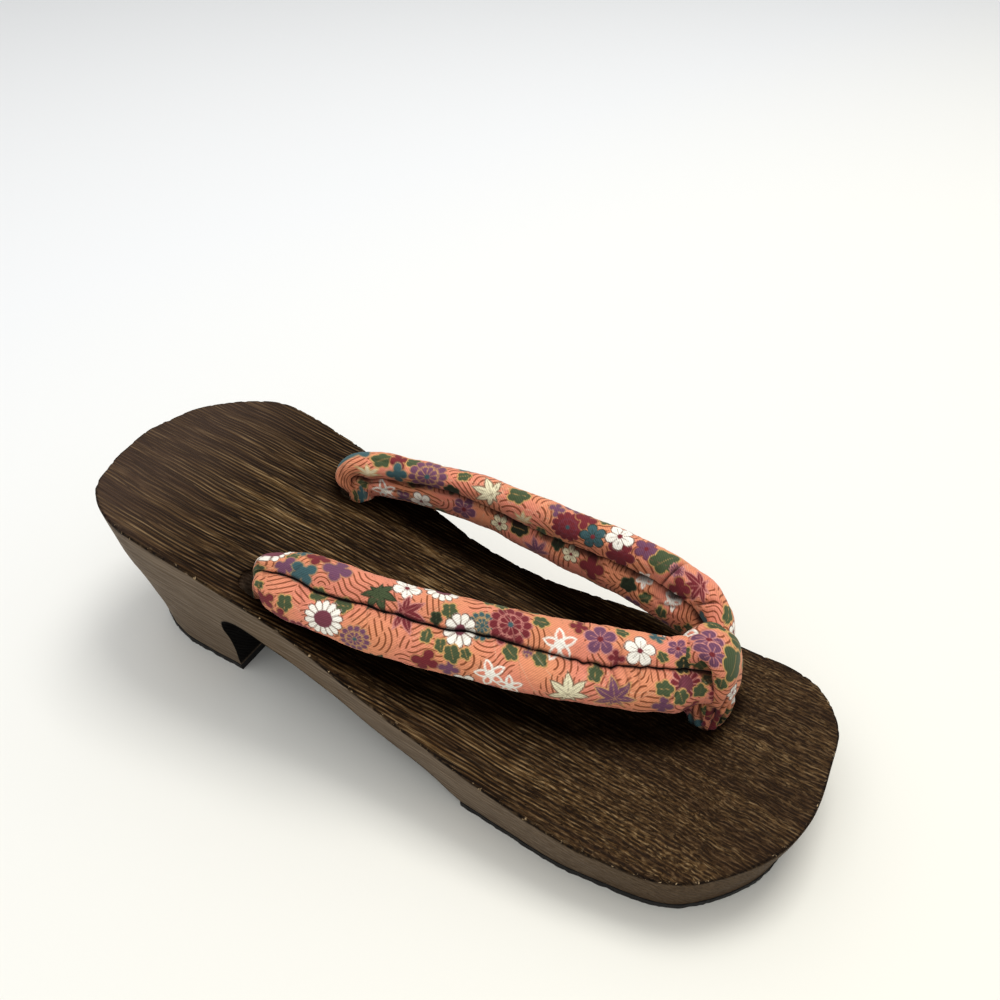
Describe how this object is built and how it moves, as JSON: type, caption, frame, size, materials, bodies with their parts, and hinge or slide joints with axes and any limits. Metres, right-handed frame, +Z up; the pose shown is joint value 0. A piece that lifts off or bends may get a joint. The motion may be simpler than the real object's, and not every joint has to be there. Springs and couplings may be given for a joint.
{
  "type": "geta sandal",
  "caption": "Foot-shaped wooden sandal with a raised heel block and an arch cut below, rubber sheets underneath, and a padded cotton thong strap held by a toe loop.",
  "frame": {"origin": "on the floor, under the middle of the sole's outline", "axes": "-Y towards the toe, +X towards the big toe side, +Z up"},
  "size_m": [0.0886, 0.235, 0.0653],
  "materials": {
    "wood": "dark stained, low sheen",
    "rubber": "matt",
    "strap_cotton": "printed cotton",
    "loop_cotton": "printed cotton"
  },
  "bodies": {
    "root": {"sole": "wood", "forefoot_sheet": "rubber", "heel_sheet": "rubber", "strap": "strap_cotton", "toe_loop": "loop_cotton"}
  },
  "joints": []
}
